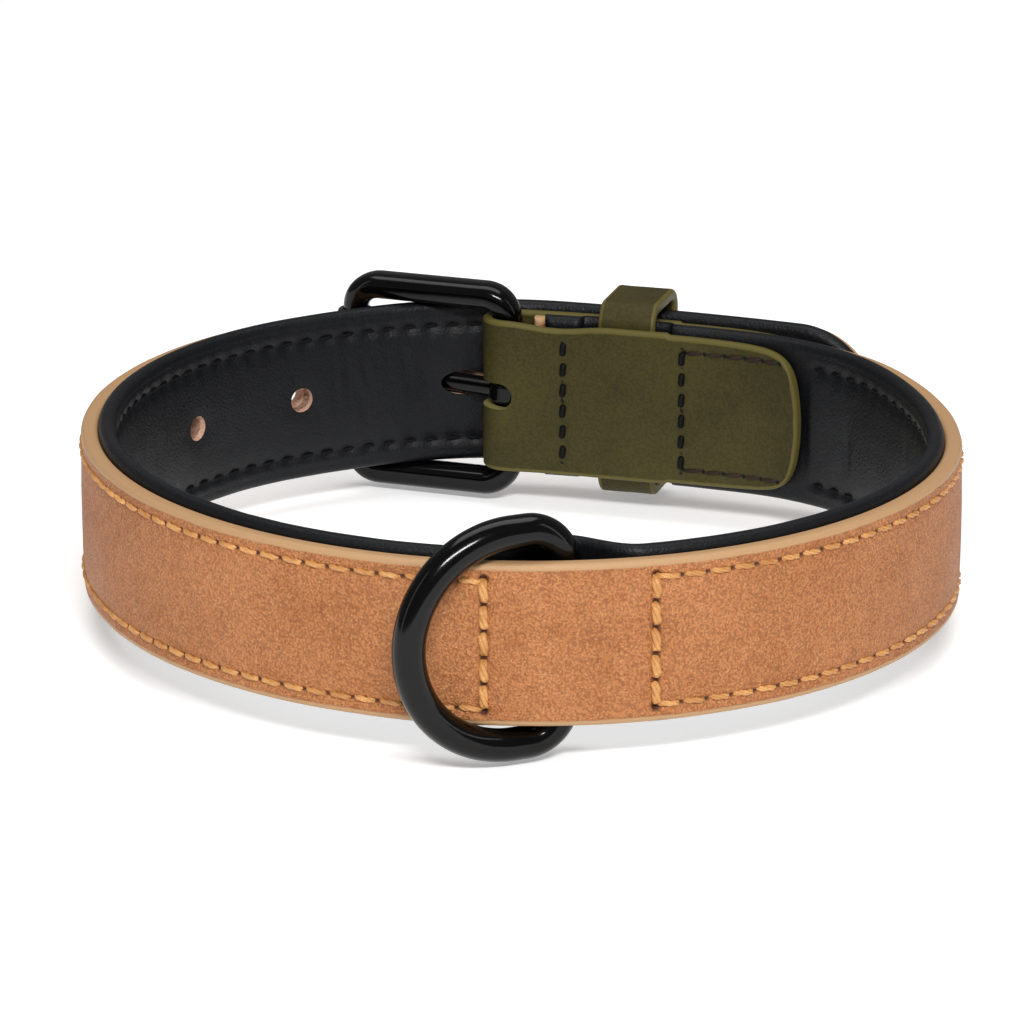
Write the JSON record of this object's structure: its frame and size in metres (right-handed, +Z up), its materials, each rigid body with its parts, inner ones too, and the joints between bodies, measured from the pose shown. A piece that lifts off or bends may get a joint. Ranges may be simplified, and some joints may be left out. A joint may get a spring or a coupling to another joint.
{
  "type": "padded leather dog collar",
  "caption": "Padded leather buckle dog collar, fastened and standing on edge: tan strap, black padded lining, olive buckle leather and keeper, black roller buckle and D-ring for a lead.",
  "frame": {"origin": "on the floor under the middle of the collar's box", "axes": "+Z up across the strap, +X to the right and +Y from the lead ring towards the buckle"},
  "size_m": [0.1422, 0.155, 0.0391],
  "materials": {
    "tan_leather": "smooth tan leather with a fine suede-like grain and pale burnished edges",
    "black_lining_leather": "soft black leather, fine grain, rolled edges",
    "olive_leather": "olive green leather, smooth, satin",
    "black_enamelled_metal": "gloss black enamel over metal",
    "foam": "soft open foam, hidden inside the lining",
    "gold_thread": "waxed golden brown sewing thread",
    "black_thread": "waxed black sewing thread",
    "brown_thread": "waxed dark brown sewing thread"
  },
  "bodies": {
    "strap": {"chape": "olive_leather", "chape_heel_row": "black_thread", "chape_rear_row": "black_thread", "chape_seam_bottom": "brown_thread", "chape_seam_top": "brown_thread", "left_foam_pad": "foam", "left_lining_seam_bottom": "black_thread", "left_lining_seam_top": "black_thread", "left_ring_seam": "gold_thread", "left_strap_seam_bottom": "gold_thread", "left_strap_seam_top": "gold_thread", "lining": "black_lining_leather", "outer_strap": "tan_leather", "right_foam_pad": "foam", "right_lining_seam_bottom": "black_thread", "right_lining_seam_top": "black_thread", "right_ring_seam": "gold_thread", "right_strap_seam_bottom": "gold_thread", "right_strap_seam_top": "gold_thread"},
    "ring": {"d_ring": "black_enamelled_metal"},
    "keeper": {"keeper_loop": "olive_leather"},
    "frame": {"buckle_frame": "black_enamelled_metal"},
    "roller": {"buckle_roller": "black_enamelled_metal"},
    "prong": {"buckle_prong": "black_enamelled_metal"}
  },
  "joints": [
    {"name": "ring_swing", "type": "hinge", "parent": "strap", "child": "ring", "pos_m": [0.00654, -0.06475, 0.01955], "axis": [0, 0, 1], "range_deg": [0, 140]},
    {"name": "keeper_slide", "type": "slide", "parent": "strap", "child": "keeper", "axis": [0.9594, -0.2821, 0], "range_m": [-0.0025, 0.0025]},
    {"name": "frame_rock", "type": "hinge", "parent": "strap", "child": "frame", "pos_m": [-0.00167, 0.06275, 0.01955], "axis": [0, 0, -1], "range_deg": [0, 2.5]},
    {"name": "roller_spin", "type": "hinge", "parent": "frame", "child": "roller", "pos_m": [-0.02813, 0.07191, 0.01955], "axis": [0, 0, 1], "continuous": true},
    {"name": "prong_lift", "type": "hinge", "parent": "frame", "child": "prong", "pos_m": [-0.00167, 0.06275, 0.01955], "axis": [0, 0, -1], "range_deg": [0, 2.5]}
  ]
}
